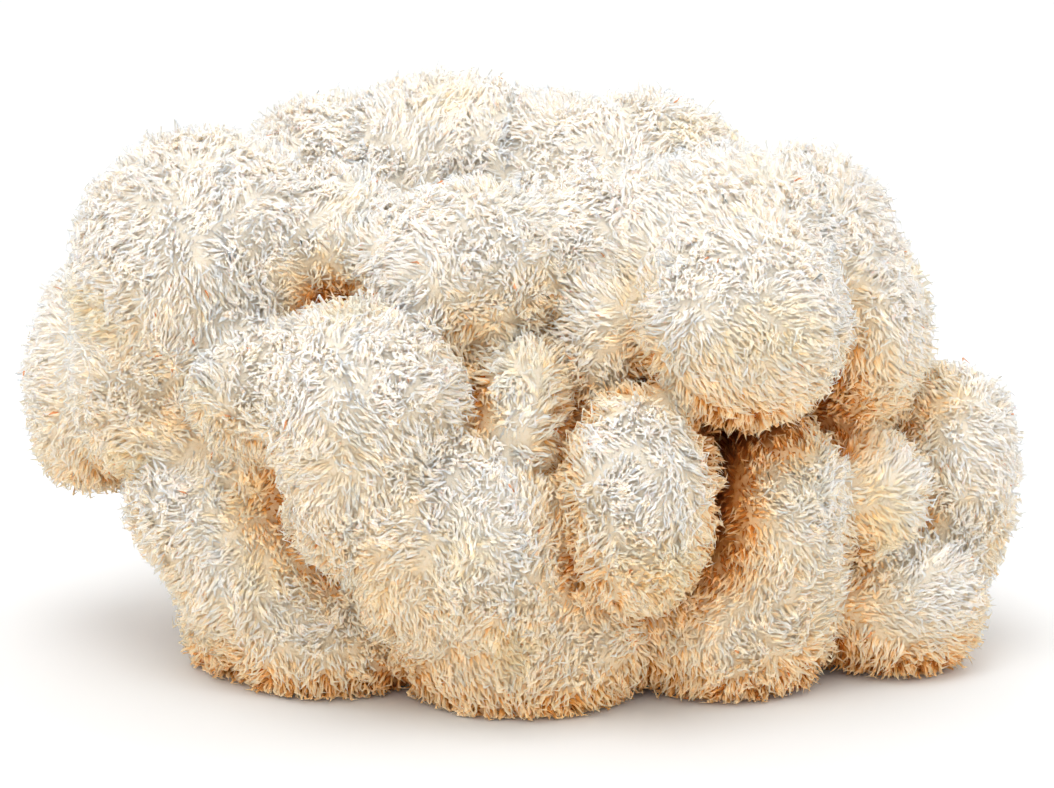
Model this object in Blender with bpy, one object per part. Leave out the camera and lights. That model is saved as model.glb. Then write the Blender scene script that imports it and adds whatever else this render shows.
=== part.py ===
"""Lion's mane mushroom, as picked: one fruiting body of crowded, rounded lobes covered in short spines.

Metres, +Z up, with the photographed side towards -Y and its right towards +X. The origin is the centre
of the flat cut where the mushroom was sliced from its block. It rests on that cut and on its lower lobes.
"""

import math
import random
from typing import NamedTuple

import bmesh
import bpy
from mathutils import Euler, Vector
from mathutils.bvhtree import BVHTree

MM = 0.001

# Driving dimensions of the real mushroom, in millimetres.
SPINE_REACH = 2.2  # how far the tufts of spines stand out from the flesh
TUFT_AREA = 26.0  # flesh that one tuft of spines covers
STEM_RADIUS = 27.0  # the slice under the middle of the mushroom
VOXEL = 1.8  # grid on which the lobes grow together
MELT_PASSES = 14  # rounds of smoothing that run the lobes of one lump into each other
CREASE_PASSES = 2  # rounds of smoothing that soften the creases between lumps

DROOP = 0.25  # how far a tuft's tip hangs, as a share of its reach
SCATTER = 0.2  # how far a tuft's tip strays sideways, as a share of its reach
CREASE_SHARE = 0.3  # a tuft's reach as a share of the gap to the flesh that faces it across a crease
SHORTER = 0.6  # what is left of a tuft's reach each time that it is found to touch another
MOST_TRIES = 12
LOBE_SUBDIVISIONS = 4
PLACE_DIGITS = 6  # decimals of a metre to which places are compared


class Lobe(NamedTuple):
    """A rounded lobe out to the tips of its spines: centre and radii in mm, lean about Y in degrees."""

    name: str
    centre: tuple
    radii: tuple
    lean: float = 0.0


# Lumps that the photograph shows, from left to right. The lobes of a lump run into each other, with
# shallow dips between them, and a deep crease parts one lump from the next.
SEEN_LUMPS = {
    "far_left": (Lobe("far_left", (-78, 12, 51), (15, 18, 24), 6),),
    "left": (
        Lobe("upper_left", (-57, -6, 73), (25, 25, 26)),
        Lobe("left_side", (-65, -4, 56), (17, 20, 23), 6),
    ),
    "low_left": (
        Lobe("middle_left", (-56, -12, 31), (16, 16, 16)),
        Lobe("left_neck", (-47, -17, 41), (11, 12, 12)),
        Lobe("left_waist", (-46, -16, 20), (18, 16, 15)),
        Lobe("left_foot", (-35, -16, 11), (22, 17, 17)),
        Lobe("left_toe", (-52, -8, 9), (12, 12, 14)),
    ),
    "front": (
        Lobe("left_shoulder", (-48, -24, 57), (12, 15, 14)),
        Lobe("front_left", (-28, -34, 56), (19, 21, 18)),
        Lobe("front_left_low", (-26, -34, 40), (17, 19, 17)),
        Lobe("front_right", (-6, -37, 31), (14, 18, 20), -12),
        Lobe("front_waist", (-17, -33, 26), (15, 16, 15)),
        Lobe("front_foot", (-1, -26, 13), (24, 18, 21)),
    ),
    "small_middle": (
        Lobe("small_middle", (-1, -30, 53), (9, 14, 15)),
        Lobe("middle_groove", (-9, -20, 57), (9, 13, 15)),
    ),
    "recess": (Lobe("recess", (12.5, -19, 62.5), (11.5, 13.5, 18.5)),),
    "crown": (
        Lobe("top_left", (-37, 14, 87), (17, 18, 15)),
        Lobe("top", (-14, 14, 90), (23, 20, 16)),
        Lobe("top_middle", (5, 10, 86), (18, 18, 16)),
        Lobe("top_right", (22, 10, 87), (19, 18, 16)),
        Lobe("crown_left", (-33, -5, 78), (14, 18, 15)),
        Lobe("upper_middle", (-11, -20, 76), (19, 18, 16)),
        Lobe("crown_front", (13, -8, 79), (17, 18, 14)),
        Lobe("back_crown", (3, 34, 83), (20, 18, 17)),
        Lobe("upper_right", (37, -30, 69), (19, 20, 19)),
        Lobe("upper_right_high", (34, -14, 80), (22, 18, 16)),
        Lobe("right_shoulder", (48, 1, 78), (18, 20, 17)),
        Lobe("right_side", (58, -1, 61), (15, 20, 21)),
    ),
    "centre_right": (Lobe("centre_right", (18.8, -37, 39), (14.2, 18, 21)),),
    "low_right": (
        Lobe("right_middle", (44, -24, 35), (13, 17, 17)),
        Lobe("right_waist", (42, -20, 23), (15, 16, 15)),
        Lobe("right_foot", (35, -18, 13), (21, 18, 19)),
    ),
    "far_right": (
        Lobe("far_right", (77, 4, 35), (14, 16, 20)),
        Lobe("far_right_low", (78, 4, 24), (12, 14, 12)),
        Lobe("far_right_back", (66, 22, 31), (15, 16, 18)),
    ),
    "right_inner": (Lobe("right_inner", (61, -12, 33), (11, 13, 14)),),
    "far_right_foot": (Lobe("far_right_foot", (66, -7, 12), (18, 15, 16)),),
}

# The side that the photograph doesn't show goes on in the same way.
HIDDEN_LUMPS = {
    "back_left": (
        Lobe("back_left_high", (-46, 31, 72), (21, 20, 20)),
        Lobe("back_left_side", (-58, 30, 47), (19, 19, 22), 10),
    ),
    "back_left_foot": (
        Lobe("back_left_foot", (-38, 27, 13), (18, 18, 19)),
        Lobe("back_left_waist", (-42, 33, 24), (16, 15, 14)),
    ),
    "back_middle": (
        Lobe("back_middle_high", (-17, 44, 63), (19, 19, 18)),
        Lobe("back_middle_low", (-10, 44, 45), (16, 18, 17), -15),
    ),
    "back_small": (Lobe("back_small", (-30, 40, 42), (9, 14, 13)),),
    "back_foot": (Lobe("back_foot", (-4, 34, 17), (19, 19, 22)),),
    "back_right": (
        Lobe("back_right_high", (33, 32, 73), (21, 20, 18)),
        Lobe("back_right_side", (48, 31, 56), (16, 18, 19)),
    ),
    "back_right_middle": (Lobe("back_right_middle", (19, 42, 45), (15, 18, 20), 8),),
    "back_right_foot": (
        Lobe("back_right_low", (44, 34, 33), (17, 18, 16)),
        Lobe("back_right_foot", (34, 28, 14), (18, 18, 19)),
    ),
}

# Flesh without spines, which joins the lumps inside and runs down to the cut.
INNER_FLESH = (
    Lobe("body", (-6, 12, 50), (54, 28, 34)),
    Lobe("right_body", (40, 8, 42), (30, 22, 27)),
    Lobe("front_body", (5, -8, 42), (34, 16, 28)),
    Lobe("stem", (0, 0, 12), (STEM_RADIUS + 4, STEM_RADIUS, 26)),
)

CREAM = (0.83, 0.74, 0.59, 1.0)


def clear_scene():
    """Removes what the scene holds at the start."""
    for thing in list(bpy.data.objects):
        bpy.data.objects.remove(thing)


def add_lobe(mesh, lobe, less):
    """Adds a lobe to the mesh as an ellipsoid, with radii smaller by less, in mm."""
    ball = bmesh.ops.create_icosphere(mesh, subdivisions=LOBE_SUBDIVISIONS, radius=1.0)["verts"]
    bmesh.ops.scale(mesh, verts=ball, vec=[(radius - less) * MM for radius in lobe.radii])
    lean = Euler((0, math.radians(lobe.lean), 0)).to_matrix()
    bmesh.ops.rotate(mesh, verts=ball, cent=(0, 0, 0), matrix=lean)
    bmesh.ops.translate(mesh, verts=ball, vec=[place * MM for place in lobe.centre])


def object_from(mesh, name):
    """Puts a bmesh in the scene as an object of that name."""
    data = bpy.data.meshes.new(name)
    mesh.to_mesh(data)
    mesh.free()
    made = bpy.data.objects.new(name, data)
    bpy.context.scene.collection.objects.link(made)
    return made


def pour(made, mesh):
    """Adds an object to the bmesh as its modifiers leave it, and removes the object."""
    bpy.context.view_layer.update()
    mesh.from_object(made, bpy.context.evaluated_depsgraph_get())
    bpy.data.objects.remove(made)


def grow_together(made, passes):
    """Gives an object modifiers that join all it holds in one skin and smooth it, so many times."""
    join = made.modifiers.new("grow together", "REMESH")
    join.mode = "VOXEL"
    join.voxel_size = VOXEL * MM
    soften = made.modifiers.new("soften", "SMOOTH")
    soften.factor = 0.5
    soften.iterations = passes


def whole_flesh():
    """The flesh under the spines: all lumps in one skin, with creases between them."""
    flesh = bmesh.new()
    for lobes in (SEEN_LUMPS | HIDDEN_LUMPS).values():
        lump = bmesh.new()
        for lobe in lobes:
            add_lobe(lump, lobe, SPINE_REACH)
        melted = object_from(lump, "lump")
        grow_together(melted, MELT_PASSES)
        pour(melted, flesh)
    for lobe in INNER_FLESH:
        add_lobe(flesh, lobe, 0)
    joined = object_from(flesh, "flesh")
    grow_together(joined, CREASE_PASSES)
    whole = bmesh.new()
    pour(joined, whole)
    return whole


def skins_of(mesh):
    """The separate skins of the mesh, each as a list of its faces."""
    left, skins = set(mesh.faces), []
    while left:
        frontier = [left.pop()]
        skin = []
        while frontier:
            face = frontier.pop()
            skin.append(face)
            near = {other for edge in face.edges for other in edge.link_faces} & left
            left -= near
            frontier += near
        skins.append(skin)
    return skins


def without_sealed_gaps(mesh):
    """Removes the skins of gaps shut in between lobes, which are those that face inwards."""
    mesh.normal_update()
    for skin in skins_of(mesh):
        volume = sum(face.calc_center_median().dot(face.normal) * face.calc_area() for face in skin)
        if volume < 0:
            bmesh.ops.delete(mesh, geom=skin, context="FACES")
    return mesh


def in_order(mesh):
    """Numbers the mesh by place, because the remesher numbers it differently from run to run."""
    places = (
        (mesh.verts, lambda vertex: vertex.co),
        (mesh.edges, lambda edge: edge.verts[0].co + edge.verts[1].co),
        (mesh.faces, lambda face: face.calc_center_median()),
    )
    for items, place in places:
        for number, item in enumerate(sorted(items, key=lambda item: place(item).to_tuple(PLACE_DIGITS))):
            item.index = number
        items.sort()
        items.index_update()
    return mesh


def in_tuft_faces(mesh):
    """Thins the flesh to one triangle for each tuft of spines."""
    tufts = sum(face.calc_area() for face in mesh.faces) / MM**2 / TUFT_AREA
    triangles = sum(len(face.verts) - 2 for face in mesh.faces)
    flesh = object_from(mesh, "flesh")
    thin = flesh.modifiers.new("one triangle a tuft", "DECIMATE")
    thin.ratio = tufts / triangles
    thinned = bmesh.new()
    pour(flesh, thinned)
    return thinned


def slice_off(mesh):
    """Cuts the flesh flat at the ground and closes the cut. Returns the faces of the cut."""
    everything = mesh.verts[:] + mesh.edges[:] + mesh.faces[:]
    bmesh.ops.bisect_plane(mesh, geom=everything, plane_co=(0, 0, 0), plane_no=(0, 0, -1), clear_outer=True)
    bmesh.ops.triangulate(mesh, faces=mesh.faces[:])
    rim = [edge for edge in mesh.edges if edge.is_boundary]
    filled = bmesh.ops.triangle_fill(mesh, edges=rim, use_beauty=True)["geom"]
    cut = {item for item in filled if isinstance(item, bmesh.types.BMFace)}
    bmesh.ops.recalc_face_normals(mesh, faces=mesh.faces[:])
    return cut


def raise_tufts(mesh, cut):
    """Pulls each triangle of the flesh out to a pointed tuft, and none on the cut or its rim."""
    chance = random.Random(7)
    mesh.normal_update()
    skin = BVHTree.FromBMesh(mesh)
    rim = {vertex for face in cut for vertex in face.verts}
    bare = [face for face in mesh.faces if face not in cut and not rim & set(face.verts)]
    tufts = {}
    for face in bare:
        middle = face.calc_center_median()
        outward = sum((vertex.normal for vertex in face.verts), face.normal.copy()).normalized()
        _, _, _, gap = skin.ray_cast(middle + face.normal * 0.1 * MM, outward)
        reach = SPINE_REACH * MM
        if gap is not None:
            reach = min(reach, gap * CREASE_SHARE)
        stray = Vector([chance.uniform(-SCATTER, SCATTER) for _ in range(3)])
        way = outward + stray + Vector((0, 0, -DROOP))
        tip = bmesh.ops.poke(mesh, faces=[face])["verts"][0]
        tufts[tip] = [middle, way.normalized() * reach]
    for _ in range(MOST_TRIES):
        for tip, (middle, way) in tufts.items():
            tip.co = middle + way
            tip.co.z = max(tip.co.z, 0.0)
        touching = crossed_tufts(mesh, tufts)
        if not touching:
            return
        for tip in touching:
            tufts[tip][1] *= SHORTER


def crossed_tufts(mesh, tufts):
    """The tips of the tufts whose sides run through others."""
    mesh.faces.ensure_lookup_table()
    mesh.verts.index_update()
    sides = BVHTree.FromBMesh(mesh)
    found = set()
    for one, other in sides.overlap(sides):
        corners, others = set(mesh.faces[one].verts), set(mesh.faces[other].verts)
        if not corners & others:
            found |= {vertex for vertex in corners | others if vertex in tufts}
    return found


def cream_flesh():
    """The finish of the whole mushroom: matt, warm and nearly white."""
    finish = bpy.data.materials.new("cream_flesh")
    finish.use_nodes = True
    shader = finish.node_tree.nodes["Principled BSDF"]
    shader.inputs["Base Color"].default_value = CREAM
    shader.inputs["Roughness"].default_value = 0.9
    shader.inputs["Metallic"].default_value = 0.0
    finish.diffuse_color = CREAM
    return finish


def main():
    """Builds the mushroom as one solid."""
    clear_scene()
    mesh = in_tuft_faces(in_order(without_sealed_gaps(whole_flesh())))
    raise_tufts(mesh, slice_off(mesh))
    mushroom = object_from(mesh, "fruiting_body")
    mushroom.data.materials.append(cream_flesh())


main()
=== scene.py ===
"""A lion's mane mushroom, dressed: its soft flesh, the coat of spines that hangs on it, and a white studio.

The flesh is grown from the same lobes as the solid that it stands for, a little under them, and the spines
reach from it out to the solid's skin. Sizes are in millimetres unless a name or a docstring says otherwise,
and meshes are in metres.
"""

import logging
import math
from dataclasses import dataclass, field
from enum import Enum
from typing import Any, Optional, Sequence

import bmesh
import bpy
import numpy as np
from mathutils import Euler, Matrix, Vector, noise
from mathutils.bvhtree import BVHTree
from mathutils.kdtree import KDTree


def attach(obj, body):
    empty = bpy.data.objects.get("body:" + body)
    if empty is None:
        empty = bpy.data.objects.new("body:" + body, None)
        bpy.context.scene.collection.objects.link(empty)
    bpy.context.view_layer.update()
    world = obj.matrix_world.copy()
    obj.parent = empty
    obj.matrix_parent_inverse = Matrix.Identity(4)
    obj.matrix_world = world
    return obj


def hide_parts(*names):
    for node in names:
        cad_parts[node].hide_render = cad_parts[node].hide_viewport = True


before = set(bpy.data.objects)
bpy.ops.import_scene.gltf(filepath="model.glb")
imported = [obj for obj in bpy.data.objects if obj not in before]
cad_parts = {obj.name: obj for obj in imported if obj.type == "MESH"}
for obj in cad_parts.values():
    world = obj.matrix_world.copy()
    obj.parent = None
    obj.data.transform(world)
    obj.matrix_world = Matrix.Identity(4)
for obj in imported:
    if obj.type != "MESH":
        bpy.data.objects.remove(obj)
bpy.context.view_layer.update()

LOG = logging.getLogger("lions_mane")

MM = 0.001
BODY = "root"
NODE = "fruiting_body"


@dataclass(frozen=True)
class Lobe:
    """A rounded lobe of the mushroom.

    Args:
        name: what the lobe is called.
        centre: its middle.
        radii: how far it reaches along X, Y and Z, out to the tips of its spines.
        lean: its turn about Y, in degrees.
    """

    name: str
    centre: tuple[float, float, float]
    radii: tuple[float, float, float]
    lean: float = 0.0


STEM_RADIUS = 27.0

# Lumps that the photograph shows, roughly from left to right. The lobes of a lump run into each other, with
# shallow dips between them, and a deep crease parts one lump from the next.
SEEN_LUMPS: dict[str, tuple[Lobe, ...]] = {
    "far_left": (Lobe("far_left", (-78, 12, 51), (15, 18, 24), 6),),
    "left": (
        Lobe("upper_left", (-57, -6, 73), (25, 25, 26)),
        Lobe("left_side", (-65, -4, 56), (17, 20, 23), 6),
    ),
    "low_left": (
        Lobe("middle_left", (-56, -12, 31), (16, 16, 16)),
        Lobe("left_neck", (-47, -17, 41), (11, 12, 12)),
        Lobe("left_waist", (-46, -16, 20), (18, 16, 15)),
        Lobe("left_foot", (-35, -16, 11), (22, 17, 17)),
        Lobe("left_toe", (-52, -8, 9), (12, 12, 14)),
    ),
    "front": (
        Lobe("left_shoulder", (-48, -24, 57), (12, 15, 14)),
        Lobe("front_left", (-28, -34, 56), (19, 21, 18)),
        Lobe("front_left_low", (-26, -34, 40), (17, 19, 17)),
        Lobe("front_right", (-6, -37, 31), (14, 18, 20), -12),
        Lobe("front_waist", (-17, -33, 26), (15, 16, 15)),
        Lobe("front_foot", (-1, -26, 13), (24, 18, 21)),
    ),
    "small_middle": (
        Lobe("small_middle", (-1, -30, 53), (9, 14, 15)),
        Lobe("middle_groove", (-9, -20, 57), (9, 13, 15)),
    ),
    "recess": (Lobe("recess", (12.5, -19, 62.5), (11.5, 13.5, 18.5)),),
    "crown": (
        Lobe("top_left", (-37, 14, 87), (17, 18, 15)),
        Lobe("top", (-14, 14, 90), (23, 20, 16)),
        Lobe("top_middle", (5, 10, 86), (18, 18, 16)),
        Lobe("top_right", (22, 10, 87), (19, 18, 16)),
        Lobe("crown_left", (-33, -5, 78), (14, 18, 15)),
        Lobe("upper_middle", (-11, -20, 76), (19, 18, 16)),
        Lobe("crown_front", (13, -8, 79), (17, 18, 14)),
        Lobe("back_crown", (3, 34, 83), (20, 18, 17)),
        Lobe("upper_right", (37, -30, 69), (19, 20, 19)),
        Lobe("upper_right_high", (34, -14, 80), (22, 18, 16)),
        Lobe("right_shoulder", (48, 1, 78), (18, 20, 17)),
        Lobe("right_side", (58, -1, 61), (15, 20, 21)),
    ),
    "centre_right": (Lobe("centre_right", (18.8, -37, 39), (14.2, 18, 21)),),
    "low_right": (
        Lobe("right_middle", (44, -24, 35), (13, 17, 17)),
        Lobe("right_waist", (42, -20, 23), (15, 16, 15)),
        Lobe("right_foot", (35, -18, 13), (21, 18, 19)),
    ),
    "far_right": (
        Lobe("far_right", (77, 4, 35), (14, 16, 20)),
        Lobe("far_right_low", (78, 4, 24), (12, 14, 12)),
        Lobe("far_right_back", (66, 22, 31), (15, 16, 18)),
    ),
    "right_inner": (Lobe("right_inner", (61, -12, 33), (11, 13, 14)),),
    "far_right_foot": (Lobe("far_right_foot", (66, -7, 12), (18, 15, 16)),),
}

# The side that the photograph doesn't show goes on in the same way.
HIDDEN_LUMPS: dict[str, tuple[Lobe, ...]] = {
    "back_left": (
        Lobe("back_left_high", (-46, 31, 72), (21, 20, 20)),
        Lobe("back_left_side", (-58, 30, 47), (19, 19, 22), 10),
    ),
    "back_left_foot": (
        Lobe("back_left_foot", (-38, 27, 13), (18, 18, 19)),
        Lobe("back_left_waist", (-42, 33, 24), (16, 15, 14)),
    ),
    "back_middle": (
        Lobe("back_middle_high", (-17, 44, 63), (19, 19, 18)),
        Lobe("back_middle_low", (-10, 44, 45), (16, 18, 17), -15),
    ),
    "back_small": (Lobe("back_small", (-30, 40, 42), (9, 14, 13)),),
    "back_foot": (Lobe("back_foot", (-4, 34, 17), (19, 19, 22)),),
    "back_right": (
        Lobe("back_right_high", (33, 32, 73), (21, 20, 18)),
        Lobe("back_right_side", (48, 31, 56), (16, 18, 19)),
    ),
    "back_right_middle": (Lobe("back_right_middle", (19, 42, 45), (15, 18, 20), 8),),
    "back_right_foot": (
        Lobe("back_right_low", (44, 34, 33), (17, 18, 16)),
        Lobe("back_right_foot", (34, 28, 14), (18, 18, 19)),
    ),
}

# Flesh without spines, which joins the lumps inside and runs down to the cut.
INNER_FLESH = (
    Lobe("body", (-6, 12, 50), (54, 28, 34)),
    Lobe("right_body", (40, 8, 42), (30, 22, 27)),
    Lobe("front_body", (5, -8, 42), (34, 16, 28)),
    Lobe("stem", (0, 0, 12), (STEM_RADIUS + 4, STEM_RADIUS, 26)),
)


def linear(colour: str) -> tuple[float, float, float, float]:
    """Turns an sRGB hex colour to linear numbers.

    Args:
        colour: the colour, such as "#F3EEE4".

    Returns:
        Red, green, blue and an alpha of 1.
    """
    parts = [int(colour[at:at + 2], 16) / 255 for at in (1, 3, 5)]
    red, green, blue = (p / 12.92 if p <= 0.04045 else ((p + 0.055) / 1.055) ** 2.4 for p in parts)
    return red, green, blue, 1.0


def add_node(
    tree: bpy.types.NodeTree,
    kind: str,
    inputs: Optional[dict[Any, Any]] = None,
    stops: Sequence[tuple[float, str]] = (),
    **settings: Any,
) -> bpy.types.Node:
    """Adds a node to a tree, with its settings and links.

    Args:
        tree: the tree that it goes into.
        kind: the node's type.
        inputs: each input's name or number, with a value for it or the socket that feeds it.
        stops: for a node with a colour ramp, the ramp's places and hex colours.
        settings: the node's own properties.

    Returns:
        The node.
    """
    node = tree.nodes.new(kind)
    for name, value in settings.items():
        setattr(node, name, value)
    for name, value in (inputs or {}).items():
        if isinstance(value, bpy.types.NodeSocket):
            tree.links.new(value, node.inputs[name])
        else:
            node.inputs[name].default_value = value
    if stops:
        elements = node.color_ramp.elements
        while len(elements) < len(stops):
            elements.new(1.0)
        for element, (place, colour) in zip(elements, stops):
            element.position, element.color = place, linear(colour)
    return node


def new_material(name: str) -> tuple[bpy.types.Material, bpy.types.NodeTree]:
    """Makes an empty node material.

    Args:
        name: the material's name.

    Returns:
        The material and its node tree, with nothing in it.
    """
    material = bpy.data.materials.new(name)
    material.use_nodes = True
    material.node_tree.nodes.clear()
    return material, material.node_tree


class Tint(Enum):
    """What else colours a spine, as the value of its point attribute."""

    PLAIN = 0.0
    WARM = 1 / 3
    YELLOW = 2 / 3
    BRUISED = 1.0


@dataclass(frozen=True)
class HangingSpines:
    """Fresh spines of the fungus, grown and not worked: fine, soft, dull and milky.

    Colour paints shade: near-white tips over roots made warmer as painted shade between the spines, and a
    warm painted glow and shade where spines crowd in a crease or face down; yellower patches and a few
    orange bruises are their own colour.
    """

    roughness: float = 0.8
    ior: float = 1.4
    specular: float = 0.06
    sheen: float = 0.05
    milkiness: float = 1.0
    bleed_mm: float = 1.0
    bleed_by_colour: tuple[float, float, float] = (1.1, 0.85, 0.6)
    # Painted shade at the roots: warmer towards the root, and by more where the spine is shut in.
    root_power: float = 1.2
    root_shade: float = 0.12
    root_shade_gain: float = 1.9
    # Colours for painted shade, from near-white in the open to burnt orange deep in creases.
    shades: tuple[tuple[float, str], ...] = (
        (0.0, "#F2F1EF"),
        (0.14, "#F2E9D7"),
        (0.3, "#F9E5C3"),
        (0.48, "#FFDBA9"),
        (0.72, "#F2AE62"),
        (1.0, "#C4702C"),
    )
    tints: tuple[tuple[Tint, str], ...] = (
        (Tint.PLAIN, "#FFFFFF"),
        (Tint.WARM, "#FFFDF8"),
        (Tint.YELLOW, "#FFFAEC"),
        (Tint.BRUISED, "#F2B084"),
    )

    def material(self) -> bpy.types.Material:
        """Builds the material.

        Returns:
            A material that reads each point's place along its spine, its amount of painted shade and its
            tint.
        """
        material, tree = new_material("fresh_hanging_spines")
        along, tone, tint = (
            add_node(tree, "ShaderNodeAttribute", attribute_name=name).outputs["Fac"]
            for name in ("along", "tone", "tint")
        )
        root = add_node(tree, "ShaderNodeMath", {0: 1.0, 1: along}, operation="SUBTRACT").outputs[0]
        # Painted shade: warmer towards the roots and in creases.
        rooted = add_node(
            tree, "ShaderNodeMath", {0: root, 1: self.root_power}, operation="POWER"
        ).outputs[0]
        root_shade_level = add_node(
            tree,
            "ShaderNodeMath",
            {0: tone, 1: self.root_shade_gain, 2: self.root_shade},
            operation="MULTIPLY_ADD",
        ).outputs[0]
        shade_warmth = add_node(
            tree, "ShaderNodeMath", {0: rooted, 1: root_shade_level, 2: tone}, operation="MULTIPLY_ADD"
        ).outputs[0]
        shade = add_node(tree, "ShaderNodeValToRGB", {0: shade_warmth}, stops=self.shades)
        stops = [(kind.value, colour) for kind, colour in self.tints]
        stain = add_node(tree, "ShaderNodeValToRGB", {0: tint}, stops=stops)
        colour = add_node(
            tree,
            "ShaderNodeMix",
            {0: 1.0, 6: shade.outputs["Color"], 7: stain.outputs["Color"]},
            data_type="RGBA",
            blend_type="MULTIPLY",
        ).outputs[2]
        shader = add_node(
            tree,
            "ShaderNodeBsdfPrincipled",
            {
                "Base Color": colour,
                "Roughness": self.roughness,
                "IOR": self.ior,
                "Specular IOR Level": self.specular,
                "Sheen Weight": self.sheen,
                "Subsurface Weight": self.milkiness,
                "Subsurface Radius": self.bleed_by_colour,
                "Subsurface Scale": self.bleed_mm * MM,
            },
            subsurface_method="BURLEY",
        )
        add_node(tree, "ShaderNodeOutputMaterial", {"Surface": shader.outputs[0]})
        return material


@dataclass(frozen=True)
class MoistFlesh:
    """The fungus's own flesh, torn and sliced but not worked: moist and spongy, with painted shade in tan
    where it is shut in.

    The eye gets pale flesh in the open, warm tan painted shade in creases and between the spines, and pale
    fibrous meat on the cut.
    """

    roughness: float = 0.7
    ior: float = 1.4
    fibre_mm: float = 0.8
    fibre_detail: float = 4.0
    fibre_mottle: float = 0.3
    fibre_share: float = 0.45
    pore_mm: float = 2.2
    pore_detail: float = 3.0
    bump_mm: float = 0.25
    bump_strength: float = 0.8
    # Colours of the grown skin by painted shade: pale in the open, tan to brown deep in creases.
    grown: tuple[tuple[float, str], ...] = (
        (0.0, "#F7F2E9"),
        (0.2, "#F9EDD8"),
        (0.42, "#FBE0B8"),
        (0.62, "#F7C48A"),
        (0.8, "#DE9448"),
        (1.0, "#B0622A"),
    )
    sliced: tuple[tuple[float, str], ...] = ((0.3, "#C9A673"), (0.5, "#E6D3AE"), (0.7, "#F1E6CE"))

    def material(self, on_cut: bool) -> bpy.types.Material:
        """Builds the material of the grown skin, or of the flat cut.

        Args:
            on_cut: whether it is the cut's.

        Returns:
            The material.
        """
        material, tree = new_material("sliced_fungus_flesh" if on_cut else "grown_fungus_flesh")
        place = add_node(tree, "ShaderNodeTexCoord").outputs["Object"]
        fibres = add_node(
            tree,
            "ShaderNodeTexNoise",
            {"Vector": place, "Scale": 1 / (self.fibre_mm * MM), "Detail": self.fibre_detail},
        ).outputs["Fac"]
        if on_cut:
            pores = add_node(
                tree,
                "ShaderNodeTexNoise",
                {"Vector": place, "Scale": 1 / (self.pore_mm * MM), "Detail": self.pore_detail},
            ).outputs["Fac"]
            both = add_node(
                tree,
                "ShaderNodeMix",
                {0: self.fibre_share, 2: pores, 3: fibres},
                data_type="FLOAT",
            ).outputs[0]
            ramp = add_node(tree, "ShaderNodeValToRGB", {0: both}, stops=self.sliced)
        else:
            # Fibre mottle on top of the painted shade.
            tone = add_node(tree, "ShaderNodeAttribute", attribute_name="tone").outputs["Fac"]
            mottle_and_shade = add_node(
                tree,
                "ShaderNodeMath",
                {0: fibres, 1: self.fibre_mottle, 2: tone},
                operation="MULTIPLY_ADD",
            ).outputs[0]
            ramp = add_node(tree, "ShaderNodeValToRGB", {0: mottle_and_shade}, stops=self.grown)
        relief = add_node(
            tree,
            "ShaderNodeBump",
            {"Height": fibres, "Distance": self.bump_mm * MM, "Strength": self.bump_strength},
        )
        shader = add_node(
            tree,
            "ShaderNodeBsdfPrincipled",
            {
                "Base Color": ramp.outputs["Color"],
                "Roughness": self.roughness,
                "IOR": self.ior,
                "Normal": relief.outputs[0],
            },
        )
        add_node(tree, "ShaderNodeOutputMaterial", {"Surface": shader.outputs[0]})
        return material


@dataclass(frozen=True)
class Surface:
    """The flesh as plain arrays, in millimetres.

    Args:
        points: its vertices.
        corners: the three vertices of each triangle.
        normals: each vertex's outward direction, evened out over the lobe.
        tone: how shut in each vertex is, from 0 in the open to 1 deep in a crease; it is painted as shade.
        tree: the same triangles, for casting rays.
    """

    points: np.ndarray
    corners: np.ndarray
    normals: np.ndarray
    tone: np.ndarray
    tree: BVHTree


def unit(vectors: np.ndarray) -> np.ndarray:
    """Each row at length 1."""
    return vectors / np.maximum(np.linalg.norm(vectors, axis=1, keepdims=True), 1e-9)


def apart(points: np.ndarray, spacing: float) -> np.ndarray:
    """Picks points that are at least a spacing from each other, taking earlier ones first.

    Args:
        points: the points to pick from.
        spacing: the least distance.

    Returns:
        The numbers of the points picked.
    """
    tree = KDTree(len(points))
    for number, point in enumerate(points):
        tree.insert(point, number)
    tree.balance()
    free = np.ones(len(points), bool)
    kept = []
    for number, point in enumerate(points):
        if free[number]:
            kept.append(number)
            for _, other, _ in tree.find_range(point, spacing):
                free[other] = False
    return np.array(kept)


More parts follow.
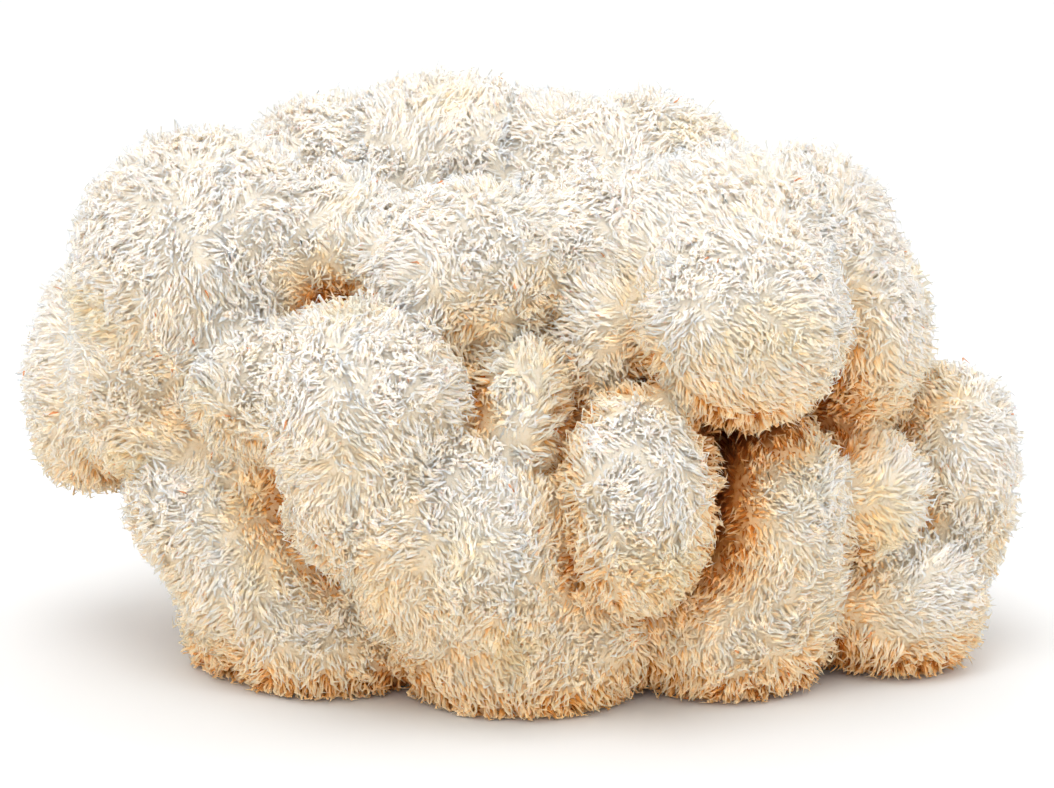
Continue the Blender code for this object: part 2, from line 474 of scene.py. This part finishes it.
@dataclass
class Flesh:
    """The soft flesh under the spines, all lobes grown into one."""

    depth: float = 1.5
    bare_depth: float = 1.2
    voxel: float = 1.9
    melt_passes: int = 18
    crease_passes: int = 3
    swells: tuple[tuple[float, float], ...] = ((14.0, 0.9), (5.0, 0.35))
    even_passes: int = 14
    rays: int = 20
    ray_seed: int = 3
    ray_start: float = 0.6
    ray_rise: float = 1.02
    ray_reach: float = 30.0
    far_fade: float = 0.5
    # Painted shade on lower and downward sides, and more close to the ground.
    low_shade: float = 0.3
    ground_shade: float = 0.35
    shade_passes: int = 3
    finish: MoistFlesh = field(default_factory=MoistFlesh)

    def grow(self) -> bpy.types.Object:
        """Grows the lobes into one skin and slices it at the ground.

        Returns:
            The flesh, as an object in the scene.
        """
        flesh = bmesh.new()
        for lobes in (SEEN_LUMPS | HIDDEN_LUMPS).values():
            lump = bmesh.new()
            for lobe in lobes:
                self.add(lump, lobe, self.depth)
            self.grow_together(lump, self.melt_passes, flesh)
        for lobe in INNER_FLESH:
            self.add(flesh, lobe, self.bare_depth)
        whole = bmesh.new()
        self.grow_together(flesh, self.crease_passes, whole)
        self.drop_sealed_gaps(whole)
        self.swell_unevenly(whole)
        self.slice_off(whole)
        return self.placed(whole, "flesh")

    def grow_together(self, mesh: bmesh.types.BMesh, passes: int, into: bmesh.types.BMesh) -> None:
        """Joins all that a mesh holds in one smoothed skin.

        Args:
            mesh: the mesh, which is freed.
            passes: rounds of smoothing.
            into: the mesh that the skin is added to.
        """
        rough = self.placed(mesh, "rough_flesh")
        join = rough.modifiers.new("grow together", "REMESH")
        join.mode, join.voxel_size = "VOXEL", self.voxel * MM
        soften = rough.modifiers.new("soften", "SMOOTH")
        soften.factor, soften.iterations = 0.5, passes
        bpy.context.view_layer.update()
        into.from_object(rough, bpy.context.evaluated_depsgraph_get())
        bpy.data.objects.remove(rough)

    def add(self, mesh: bmesh.types.BMesh, lobe: Lobe, under: float) -> None:
        """Adds a lobe to the mesh.

        Args:
            mesh: the mesh.
            lobe: the lobe.
            under: how far inside the lobe's own radii it stays.
        """
        ball = bmesh.ops.create_icosphere(mesh, subdivisions=4, radius=1.0)["verts"]
        bmesh.ops.scale(mesh, verts=ball, vec=[(radius - under) * MM for radius in lobe.radii])
        lean = Euler((0, math.radians(lobe.lean), 0)).to_matrix()
        bmesh.ops.rotate(mesh, verts=ball, cent=(0, 0, 0), matrix=lean)
        bmesh.ops.translate(mesh, verts=ball, vec=[place * MM for place in lobe.centre])

    def placed(self, mesh: bmesh.types.BMesh, name: str) -> bpy.types.Object:
        """Puts a bmesh in the scene as an object of that name.

        Args:
            mesh: the mesh, which is freed.
            name: the object's name.

        Returns:
            The object.
        """
        data = bpy.data.meshes.new(name)
        mesh.to_mesh(data)
        mesh.free()
        made = bpy.data.objects.new(name, data)
        bpy.context.scene.collection.objects.link(made)
        return made

    def drop_sealed_gaps(self, mesh: bmesh.types.BMesh) -> None:
        """Removes the skins of gaps shut in between lobes, which are those that face inwards.

        Args:
            mesh: the flesh.
        """
        mesh.normal_update()
        left, skins = set(mesh.faces), []
        while left:
            frontier = [left.pop()]
            skin = []
            while frontier:
                face = frontier.pop()
                skin.append(face)
                near = {other for edge in face.edges for other in edge.link_faces} & left
                left -= near
                frontier += near
            skins.append(skin)
        for skin in skins:
            if sum(face.calc_center_median().dot(face.normal) * face.calc_area() for face in skin) < 0:
                bmesh.ops.delete(mesh, geom=skin, context="FACES")

    def swell_unevenly(self, mesh: bmesh.types.BMesh) -> None:
        """Moves the skin in and out a little, so that no lobe is a plain ellipsoid.

        Args:
            mesh: the flesh.
        """
        mesh.normal_update()
        for vertex in mesh.verts:
            push = sum(noise.noise(vertex.co / (width * MM)) * height for width, height in self.swells)
            vertex.co += vertex.normal * push * MM

    def slice_off(self, mesh: bmesh.types.BMesh) -> None:
        """Cuts the flesh flat at the ground, and closes the cut in the second material.

        Args:
            mesh: the flesh.
        """
        everything = mesh.verts[:] + mesh.edges[:] + mesh.faces[:]
        bmesh.ops.bisect_plane(
            mesh, geom=everything, plane_co=(0, 0, 0), plane_no=(0, 0, -1), clear_outer=True
        )
        bmesh.ops.triangulate(mesh, faces=mesh.faces[:])
        rim = [edge for edge in mesh.edges if edge.is_boundary]
        filled = bmesh.ops.triangle_fill(mesh, edges=rim, use_beauty=True)["geom"]
        bmesh.ops.recalc_face_normals(mesh, faces=mesh.faces[:])
        for face in mesh.faces:
            face.smooth = True
        for item in filled:
            if isinstance(item, bmesh.types.BMFace):
                item.material_index, item.smooth = 1, False

    def read(self, made: bpy.types.Object) -> Surface:
        """Reads the grown skin into arrays, without the cut.

        Args:
            made: the flesh.

        Returns:
            The skin's points, triangles, even normals and amounts of painted shade.
        """
        data = made.data
        points = np.empty(len(data.vertices) * 3)
        data.vertices.foreach_get("co", points)
        points = points.reshape(-1, 3) / MM
        corners = np.empty(len(data.polygons) * 3, np.int64)
        data.polygons.foreach_get("vertices", corners)
        slots = np.empty(len(data.polygons), np.int64)
        data.polygons.foreach_get("material_index", slots)
        everywhere = corners.reshape(-1, 3)
        corners = self.in_order(points, everywhere[slots == 0])
        tree = BVHTree.FromPolygons(points.tolist(), everywhere.tolist())
        sides = points[corners]
        facing = np.cross(sides[:, 1] - sides[:, 0], sides[:, 2] - sides[:, 0])
        normals = np.zeros_like(points)
        for corner in range(3):
            np.add.at(normals, corners[:, corner], facing)
        normals = self.evened(unit(normals), corners, self.even_passes)
        tone = self.shut_in(points, unit(normals), tree)
        tone = self.evened(tone[:, None], corners, self.shade_passes)[:, 0]
        return Surface(points, corners, unit(normals), tone, tree)

    def in_order(self, points: np.ndarray, corners: np.ndarray) -> np.ndarray:
        """Sorts triangles by place, because the remesher numbers them differently from run to run.

        Args:
            points: the vertices.
            corners: the triangles.

        Returns:
            The same triangles, each from its leftmost vertex on.
        """
        first = points[corners][:, :, 0].argmin(1)[:, None]
        corners = np.take_along_axis(corners, (first + np.arange(3)) % 3, 1)
        return corners[np.lexsort(np.round(points[corners].mean(1), 4).T)]

    def evened(self, values: np.ndarray, corners: np.ndarray, passes: int) -> np.ndarray:
        """Averages each vertex's values with its neighbours'.

        Args:
            values: one row a vertex.
            corners: the triangles.
            passes: how many times.

        Returns:
            The evened rows.
        """
        ends = np.concatenate([corners[:, [0, 1]], corners[:, [1, 2]], corners[:, [2, 0]]])
        count = np.bincount(ends[:, 0], minlength=len(values)) + 1.0
        for _ in range(passes):
            total = np.stack(
                [np.bincount(ends[:, 0], column[ends[:, 1]], len(values)) for column in values.T], 1
            )
            values = (total + values) / count[:, None]
        return values

    def shut_in(self, points: np.ndarray, normals: np.ndarray, tree: BVHTree) -> np.ndarray:
        """Finds what share of the view from each vertex is other flesh, or looks down towards the ground:
        the amount of shade painted there.

        Args:
            points: the vertices.
            normals: their outward directions.
            tree: the flesh.

        Returns:
            A share for each vertex.
        """
        chance = np.random.default_rng(self.ray_seed)
        around = unit(chance.normal(size=(self.rays, 3)))
        shut = np.zeros(len(points))
        for number, (point, normal) in enumerate(zip(points, normals)):
            start = Vector(point + normal * self.ray_start)
            ways = unit(around + normal * self.ray_rise)
            for way in ways:
                hit = tree.ray_cast(start, Vector(way), self.ray_reach)
                if hit[3] is not None:
                    shut[number] += 1.0 - self.far_fade * hit[3] / self.ray_reach
                # A look down counts as painted shade, more the nearer the ground, so undersides and lower
                # sides are darker and warmer.
                elif way[2] < 0:
                    fall = min(start.z / -way[2] / self.ray_reach, 1.0)
                    shut[number] += self.low_shade + self.ground_shade * (1.0 - fall)
        return shut / self.rays

    def dress(self, made: bpy.types.Object, surface: Surface) -> None:
        """Gives the flesh its painted shade and its materials.

        Args:
            made: the flesh.
            surface: the same flesh as arrays.
        """
        tones = made.data.attributes.new("tone", "FLOAT", "POINT")
        tones.data.foreach_set("value", surface.tone.astype(np.float32))
        made.data.materials.append(self.finish.material(on_cut=False))
        made.data.materials.append(self.finish.material(on_cut=True))


class Slice(Enum):
    """The pieces that the coat of spines is parted into, from left to right."""

    FAR_LEFT = "spines_far_left"
    LEFT = "spines_left"
    MIDDLE_LEFT = "spines_middle_left"
    MIDDLE_RIGHT = "spines_middle_right"
    RIGHT = "spines_right"
    FAR_RIGHT = "spines_far_right"


@dataclass(frozen=True)
class Growth:
    """One kind of spine.

    Args:
        spacing: the least distance between two roots.
        length: how long they are.
        thickness: how thick they are at their thickest.
        height: how far up the coat they reach, as a share.
        sides: how many sides they have.
        sunk: how far under the flesh they start.
        profile: the places along a spine, each with its share of the thickness, where 0 is a point.
    """

    spacing: float
    length: float
    thickness: float
    height: float
    sides: int
    sunk: float
    profile: tuple[tuple[float, float], ...]


LONG = Growth(0.57, 4.3, 0.52, 1.0, 3, 1.1, ((0.0, 0.0), (0.7, 1.0), (1.0, 0.0)))
SHORT = Growth(0.66, 2.7, 0.85, 0.65, 3, 0.3, ((0.0, 1.0), (1.0, 0.0)))


@dataclass(frozen=True)
class Strands:
    """Many strands as plain arrays.

    Args:
        points: their points, in millimetres.
        faces: their triangles, as numbers of points.
        facing: the direction that each point shades as if it faced.
        values: each point's place along its strand, amount of painted shade, tint and side.
    """

    points: np.ndarray
    faces: np.ndarray
    facing: np.ndarray
    values: np.ndarray


@dataclass
class SpineCoat:
    """The spines: soft, wormy strands in leaning locks, hanging at their tips, over short ones."""

    seed: int = 11
    tries: float = 3.5
    uneven: float = 0.15
    thick_range: tuple[float, float] = (0.75, 1.2)
    sparse_from: float = 0.45
    sparse_over: float = 0.25
    sparse_share: float = 0.25
    waves: tuple[tuple[float, float], ...] = ((13.0, 1.4), (4.5, 0.9))
    wave_seed: int = 7
    lock_spacing: float = 2.4
    lock_border: float = 1.7
    lock_stray: float = 0.16
    gather: float = 0.5
    gather_range: tuple[float, float] = (0.3, 1.5)
    stray: float = 0.1
    root_lean: float = 0.5
    droop: float = 0.3
    level_hold: float = 0.6
    curl: float = 0.16
    roundness: float = 0.2
    tip_lift: float = 0.25
    tip_mix: tuple[float, float] = (0.45, 0.55)
    clearance: float = 0.3
    crease_share: float = 0.6
    least_length: float = 1.0
    # The spines' painted shade: where it starts, how fast it grows and how it varies.
    shade_start: float = 0.1
    shade_gain: float = 1.02
    shade_stray: float = 0.03
    patch_width: float = 15.0
    patch_start: float = 0.2
    patch_gain: float = 5.0
    bruise_share: float = 0.002
    map_edge: float = 0.02
    map_span: float = 0.96
    band_edge: float = 0.1
    band_span: float = 0.75
    side_step: float = 0.02
    finish: HangingSpines = field(default_factory=HangingSpines)

    def grow(self, surface: Surface) -> list[bpy.types.Object]:
        """Grows all the spines on a surface.

        Args:
            surface: the flesh.

        Returns:
            The pieces of the coat.
        """
        # Without a seed, the smooth noise directions differ from run to run.
        noise.seed_set(self.wave_seed)
        chance = np.random.default_rng(self.seed)
        locks, outward, _ = self.scatter(surface, chance, self.lock_spacing)
        wander = chance.normal(0, self.lock_stray, locks.shape)
        coat = []
        for growth in (LONG, SHORT):
            roots, normals, tone = self.scatter(surface, chance, growth.spacing)
            thinning = (self.sparse_from, self.sparse_from + self.sparse_over)
            dense = np.interp(tone, thinning, (1.0, self.sparse_share))
            kept = chance.random(len(roots)) < dense
            roots, normals, tone = roots[kept], normals[kept], tone[kept]
            lock = self.nearest(roots, locks)
            lines, reach = self.bend(
                surface, chance, growth, roots, normals, locks[lock], outward[lock], wander[lock]
            )
            # Each spine takes the painted shade of the flesh where it roots.
            tone = (tone - self.shade_start) * self.shade_gain + chance.normal(0, self.shade_stray, len(tone))
            tint = self.tints(roots, chance)
            good = reach > self.least_length
            coat.append((growth, lines[good], normals[good], np.clip(tone[good], 0, 1), tint[good]))
        # Each piece holds as many long spines as the next.
        edges = np.quantile(coat[0][1][:, 0, 0], np.linspace(0, 1, len(Slice) + 1)[1:-1])
        pieces = []
        for number, part in enumerate(Slice):
            parts = []
            for growth, lines, normals, tone, tint in coat:
                inside = np.searchsorted(edges, lines[:, 0, 0]) == number
                kept = (rows[inside] for rows in (lines, normals, tone, tint))
                parts.append(self.strands(growth, *kept, chance))
            pieces.append(self.piece(part.value, parts))
        return pieces

    def scatter(
        self, surface: Surface, chance: np.random.Generator, spacing: float
    ) -> tuple[np.ndarray, np.ndarray, np.ndarray]:
        """Spreads places evenly over the flesh.

        Args:
            surface: the flesh.
            chance: the source of randomness.
            spacing: the least distance between two places.

        Returns:
            The places, their outward directions and their amounts of painted shade.
        """
        sides = surface.points[surface.corners]
        areas = np.linalg.norm(np.cross(sides[:, 1] - sides[:, 0], sides[:, 2] - sides[:, 0]), axis=1) / 2
        wanted = int(areas.sum() / spacing**2 * self.tries)
        picked = chance.choice(len(areas), wanted, p=areas / areas.sum())
        a, b = chance.random((2, wanted))
        over = a + b > 1
        a[over], b[over] = 1 - a[over], 1 - b[over]
        shares = np.stack([1 - a - b, a, b], 1)[:, :, None]
        places = (sides[picked] * shares).sum(1)
        kept = apart(places, spacing)
        faces, shares = surface.corners[picked[kept]], shares[kept]
        normals = unit((surface.normals[faces] * shares).sum(1))
        tone = (surface.tone[faces] * shares[:, :, 0]).sum(1)
        return places[kept], normals, tone

    def nearest(self, roots: np.ndarray, locks: np.ndarray) -> np.ndarray:
        """Finds the lock that each spine belongs to, with wavy borders between locks.

        Args:
            roots: where the spines start.
            locks: the middles of the locks.

        Returns:
            The number of each spine's lock.
        """
        tree = KDTree(len(locks))
        for number, middle in enumerate(locks):
            tree.insert(middle, number)
        tree.balance()
        return np.array([tree.find(place)[1] for place in roots + self.waved(roots, self.lock_border)])

    def waved(self, places: np.ndarray, width: float) -> np.ndarray:
        """Smooth random directions, alike within a width.

        Args:
            places: where.
            width: how wide one wave of them is.

        Returns:
            A direction for each place, mostly under half as long as 1.
        """
        return np.array([noise.noise_vector(Vector(place) / width) for place in places])

    def tints(self, roots: np.ndarray, chance: np.random.Generator) -> np.ndarray:
        """Picks each spine's tint: yellower in patches, with a few bruised spines.

        Args:
            roots: where the spines start.
            chance: the source of randomness.

        Returns:
            The value of each spine's tint.
        """
        patch = self.waved(roots, self.patch_width)[:, 0] - self.patch_start
        level = np.clip(np.round(patch * self.patch_gain + chance.uniform(-0.5, 0.5, len(roots))), 0, 2)
        return np.where(chance.random(len(roots)) < self.bruise_share, Tint.BRUISED.value, level / 3)

    def bend(
        self,
        surface: Surface,
        chance: np.random.Generator,
        growth: Growth,
        roots: np.ndarray,
        normals: np.ndarray,
        middles: np.ndarray,
        outward: np.ndarray,
        wander: np.ndarray,
    ) -> tuple[np.ndarray, np.ndarray]:
        """Gives each spine its curve: leaning with those near it, gathered in its lock, hanging at the tip.

        Args:
            surface: the flesh.
            chance: the source of randomness.
            growth: the kind of spine.
            roots: where the spines start.
            normals: their outward directions.
            middles: the middle of each spine's lock.
            outward: the outward direction there.
            wander: the way that each spine's lock strays.

        Returns:
            The points along each spine, root first, and each spine's length.
        """
        count = len(roots)
        lean = wander + sum(self.waved(middles, width) * strength for width, strength in self.waves)
        lean -= outward * (lean * outward).sum(1, keepdims=True)
        length = growth.length * (1 + self.uneven * chance.normal(size=count).clip(-2, 2))
        towards = middles - roots
        towards -= normals * (towards * normals).sum(1, keepdims=True)
        gathered = towards / length[:, None] * self.gather * chance.uniform(*self.gather_range, (count, 1))
        hang = np.array([0.0, 0.0, -self.droop]) * (1 - np.abs(normals[:, 2:]) * self.level_hold)
        start = unit(normals + lean * self.root_lean + chance.normal(0, self.stray, roots.shape))
        stray = chance.normal(0, self.stray, roots.shape)
        end = unit(normals * self.tip_lift + lean + gathered + hang + stray)
        length *= self.room(surface, roots, unit(start + end), length)
        size = length[:, None]
        roots = roots - normals * growth.sunk
        mid = roots + start * size * 0.5
        tip = roots + (start * self.tip_mix[0] + end * self.tip_mix[1]) * size
        twist = np.cross(end, chance.normal(size=roots.shape)) * self.curl * size
        line = [roots]
        for along, _ in growth.profile[1:]:
            bow = (1 - along) ** 2 * roots + 2 * along * (1 - along) * mid + along**2 * tip
            line.append(bow + twist * math.sin(2 * math.pi * along))
        lines = np.stack(line, 1)
        # No spine goes into the ground.
        lines[:, :, 2] = np.maximum(lines[:, :, 2], growth.thickness)
        return lines, length

    def room(
        self, surface: Surface, roots: np.ndarray, ways: np.ndarray, length: np.ndarray
    ) -> np.ndarray:
        """Finds how much of its length each spine has room for before it meets flesh.

        Args:
            surface: the flesh.
            roots: where the spines start.
            ways: where they point.
            length: how long they would be.

        Returns:
            A share of the length for each spine.
        """
        share = np.ones(len(roots))
        for number, (root, way, full) in enumerate(zip(roots, ways, length)):
            start = Vector(root + way * self.clearance)
            hit = surface.tree.ray_cast(start, Vector(way), full / self.crease_share)
            if hit[3] is not None:
                share[number] = min(1.0, (hit[3] + self.clearance) * self.crease_share / full)
        return share

    def strands(
        self,
        growth: Growth,
        lines: np.ndarray,
        normals: np.ndarray,
        tone: np.ndarray,
        tint: np.ndarray,
        chance: np.random.Generator,
    ) -> Strands:
        """Makes closed strands along lines.

        Args:
            growth: the kind of spine.
            lines: the points along each spine.
            normals: the flesh's outward direction under each spine.
            tone: each spine's amount of painted shade.
            tint: each spine's tint.
            chance: the source of randomness.

        Returns:
            The strands.
        """
        count = len(lines)
        turn = chance.uniform(0, 2 * math.pi, count)
        thick = growth.thickness / 2 * chance.uniform(*self.thick_range, count)
        rows, facing, places, sides = [], [], [], []
        last = len(growth.profile) - 1
        for number, (along, share) in enumerate(growth.profile):
            if share == 0:
                rows.append(lines[:, number][:, None])
                facing.append(normals[:, None])
                places.append(along)
                sides.append(1)
                continue
            ahead = unit(lines[:, min(number + 1, last)] - lines[:, max(number - 1, 0)])
            # Rolled and shifted, the direction ahead gives another one, to find what lies across.
            across = unit(np.cross(ahead, np.roll(ahead, 1, axis=1) + 0.3))
            over = np.cross(ahead, across)
            for side in range(growth.sides):
                angle = turn + 2 * math.pi * side / growth.sides
                step = across * np.cos(angle)[:, None] + over * np.sin(angle)[:, None]
                rows.append((lines[:, number] + step * (thick * share)[:, None])[:, None])
                facing.append(unit(normals + step * self.roundness)[:, None])
                places.append(along)
                sides.append(side)
        points = np.concatenate(rows, 1)
        each = points.shape[1]
        faces = (np.arange(count)[:, None, None] * each + self.strand_faces(growth)[None]).reshape(-1, 3)
        along = np.tile(np.array(places) * growth.height, count)
        values = np.stack([along, np.repeat(tone, each), np.repeat(tint, each), np.tile(sides, count)], 1)
        return Strands(points.reshape(-1, 3), faces, np.concatenate(facing, 1).reshape(-1, 3), values)

    def strand_faces(self, growth: Growth) -> np.ndarray:
        """The triangles of one strand, as numbers of its own points.

        Args:
            growth: the kind of spine.

        Returns:
            One row a triangle.
        """
        faces, at = [], 0
        shares = [share for _, share in growth.profile]
        if shares[0] > 0:
            faces += [(0, side + 1, side) for side in range(1, growth.sides - 1)]
        for share in shares[:-1]:
            step = growth.sides if share > 0 else 1
            for side in range(growth.sides):
                after = (side + 1) % growth.sides
                if share > 0:
                    faces.append((at + side, at + after, at + step))
                else:
                    faces.append((at, at + 1 + after, at + 1 + side))
            at += step
        return np.array(faces)

    def piece(self, name: str, parts: list[Strands]) -> bpy.types.Object:
        """Makes one piece of the coat.

        Args:
            name: the piece's name.
            parts: the strands of each kind of spine in it.

        Returns:
            The piece.
        """
        starts = np.cumsum([0] + [len(part.points) for part in parts])
        points = np.concatenate([part.points for part in parts])
        faces = np.concatenate([part.faces + start for start, part in zip(starts, parts)])
        facing = np.concatenate([part.facing for part in parts])
        values = np.concatenate([part.values for part in parts])
        data = bpy.data.meshes.new(name)
        data.vertices.add(len(points))
        data.vertices.foreach_set("co", (points.ravel() * MM).astype(np.float32))
        data.loops.add(faces.size)
        data.loops.foreach_set("vertex_index", faces.ravel().astype(np.int32))
        data.polygons.add(len(faces))
        data.polygons.foreach_set("loop_start", np.arange(0, faces.size, 3, dtype=np.int32))
        data.update(calc_edges=True)
        data.shade_smooth()
        data.normals_split_custom_set_from_vertices(facing.tolist())
        for label, column in zip(("along", "tone", "tint"), values.T):
            written = data.attributes.new(label, "FLOAT", "POINT")
            written.data.foreach_set("value", column.astype(np.float32))
        self.lay_out(data, values[faces.ravel()])
        made = bpy.data.objects.new(name, data)
        bpy.context.scene.collection.objects.link(made)
        return made

    def lay_out(self, data: bpy.types.Mesh, values: np.ndarray) -> None:
        """Gives a piece a UV map in which each place has one colour: a band for each tint, painted shade by
        along.

        Args:
            data: the mesh.
            values: the along, painted shade, tint and side of each corner.
        """
        along, tone, tint, side = values.T
        bands = len(Tint)
        band = np.round(tint * (bands - 1)) + self.band_edge
        across = (band + self.band_span * tone + self.side_step * side) / bands
        up = self.map_edge + self.map_span * along
        layer = data.uv_layers.new(name="OFBake", do_init=False)
        layer.uv.foreach_set("vector", np.stack([across, up], 1).astype(np.float32).ravel())

    def dress(self, pieces: list[bpy.types.Object]) -> None:
        """Gives every piece of the coat the one finish.

        Args:
            pieces: the pieces.
        """
        material = self.finish.material()
        for piece in pieces:
            piece.data.materials.append(material)


@dataclass(frozen=True)
class Lamp:
    """A round soft lamp that points at the mushroom.

    Args:
        name: what it is called.
        azimuth: how far round it stands from the front towards the right, in degrees.
        elevation: how far up it stands, in degrees.
        distance: how far off it stands.
        size: how wide it is.
        power: how strong it is, in watts.
    """

    name: str
    azimuth: float
    elevation: float
    distance: float
    size: float
    power: float


@dataclass
class Studio:
    """A plain white sweep, soft light all round and a camera where the photograph was taken from."""

    elevation: float = 13.0
    distance: float = 650.0
    aim_height: float = 49.0
    lens: float = 122.3
    sensor: float = 36.0
    floor_width: float = 4000.0
    sky: tuple[tuple[float, float], ...] = ((0.0, 0.82), (1.0, 1.02))
    sky_colour: str = "#FFFFFF"
    floor_colour: str = "#F6F6F6"
    floor_roughness: float = 0.9
    floor_specular: float = 0.1
    lamps: tuple[Lamp, ...] = (
        Lamp("top_lamp", -25.0, 72.0, 1250.0, 800.0, 4.4),
        Lamp("front_lamp", -8.0, 24.0, 1300.0, 500.0, 1.2),
        Lamp("left_lamp", -100.0, 28.0, 1300.0, 500.0, 0.9),
        Lamp("right_lamp", 95.0, 28.0, 1300.0, 500.0, 1.1),
        Lamp("back_lamp", 175.0, 28.0, 1300.0, 500.0, 0.7),
    )

    def build(self) -> bpy.types.Object:
        """Sets up the floor, the light and the camera.

        Returns:
            The floor.
        """
        scene = bpy.context.scene
        scene.view_settings.view_transform = "Standard"
        self.add_camera(scene)
        self.add_light(scene)
        return self.add_floor(scene)

    def add_camera(self, scene: bpy.types.Scene) -> None:
        """Adds the camera.

        Args:
            scene: the scene.
        """
        tilt = math.radians(self.elevation)
        aim = Vector((0, 0, self.aim_height)) * MM
        place = aim + Vector((0, -math.cos(tilt), math.sin(tilt))) * self.distance * MM
        data = bpy.data.cameras.new("camera")
        data.lens, data.sensor_width = self.lens, self.sensor
        data.clip_start, data.clip_end = 0.01, 20.0
        camera = bpy.data.objects.new("camera", data)
        camera.matrix_world = Matrix.LocRotScale(place, (aim - place).to_track_quat("-Z", "Y"), None)
        scene.collection.objects.link(camera)
        scene.camera = camera

    def add_light(self, scene: bpy.types.Scene) -> None:
        """Adds the light from all round and the soft lamps.

        Args:
            scene: the scene.
        """
        world = bpy.data.worlds.new("white_room")
        world.use_nodes = True
        world.node_tree.nodes.clear()
        tree = world.node_tree
        place = add_node(tree, "ShaderNodeTexCoord").outputs["Generated"]
        height = add_node(tree, "ShaderNodeSeparateXYZ", {0: place}).outputs["Z"]
        (low, dim), (high, bright) = self.sky
        power = add_node(
            tree, "ShaderNodeMapRange", {"Value": height, 1: low, 2: high, 3: dim, 4: bright}
        ).outputs[0]
        glow = add_node(
            tree, "ShaderNodeBackground", {"Color": linear(self.sky_colour), "Strength": power}
        )
        add_node(tree, "ShaderNodeOutputWorld", {"Surface": glow.outputs[0]})
        scene.world = world
        aim = Vector((0, 0, self.aim_height)) * MM
        for lamp in self.lamps:
            data = bpy.data.lights.new(lamp.name, "AREA")
            data.shape, data.size, data.energy = "DISK", lamp.size * MM, lamp.power
            light = bpy.data.objects.new(lamp.name, data)
            turn, up = math.radians(lamp.azimuth), math.radians(lamp.elevation)
            across = math.cos(up)
            way = Vector((math.sin(turn) * across, -math.cos(turn) * across, math.sin(up)))
            place = aim + way * lamp.distance * MM
            light.matrix_world = Matrix.LocRotScale(place, (-way).to_track_quat("-Z", "Y"), None)
            scene.collection.objects.link(light)

    def add_floor(self, scene: bpy.types.Scene) -> bpy.types.Object:
        """Adds the floor.

        Args:
            scene: the scene.

        Returns:
            The floor.
        """
        mesh = bmesh.new()
        bmesh.ops.create_grid(mesh, x_segments=1, y_segments=1, size=self.floor_width / 2 * MM)
        data = bpy.data.meshes.new("floor")
        mesh.to_mesh(data)
        mesh.free()
        floor = bpy.data.objects.new("floor", data)
        scene.collection.objects.link(floor)
        material, tree = new_material("matt_white_card")
        shader = add_node(
            tree,
            "ShaderNodeBsdfPrincipled",
            {
                "Base Color": linear(self.floor_colour),
                "Roughness": self.floor_roughness,
                "Specular IOR Level": self.floor_specular,
            },
        )
        add_node(tree, "ShaderNodeOutputMaterial", {"Surface": shader.outputs[0]})
        data.materials.append(material)
        return floor


def main() -> None:
    """Builds the mushroom and the studio, piece by piece."""
    logging.basicConfig(level=logging.INFO, format="%(name)s: %(message)s")
    Studio().build()
    LOG.info("studio: floor, light and camera")

    flesh = Flesh()
    body = flesh.grow()
    surface = flesh.read(body)
    flesh.dress(body, surface)
    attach(body, BODY)
    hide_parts(NODE)
    LOG.info("flesh: %d faces", len(body.data.polygons))

    coat = SpineCoat()
    pieces = coat.grow(surface)
    coat.dress(pieces)
    for piece in pieces:
        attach(piece, BODY)
        LOG.info("%s: %d faces", piece.name, len(piece.data.polygons))


if __name__ == "__main__":
    main()
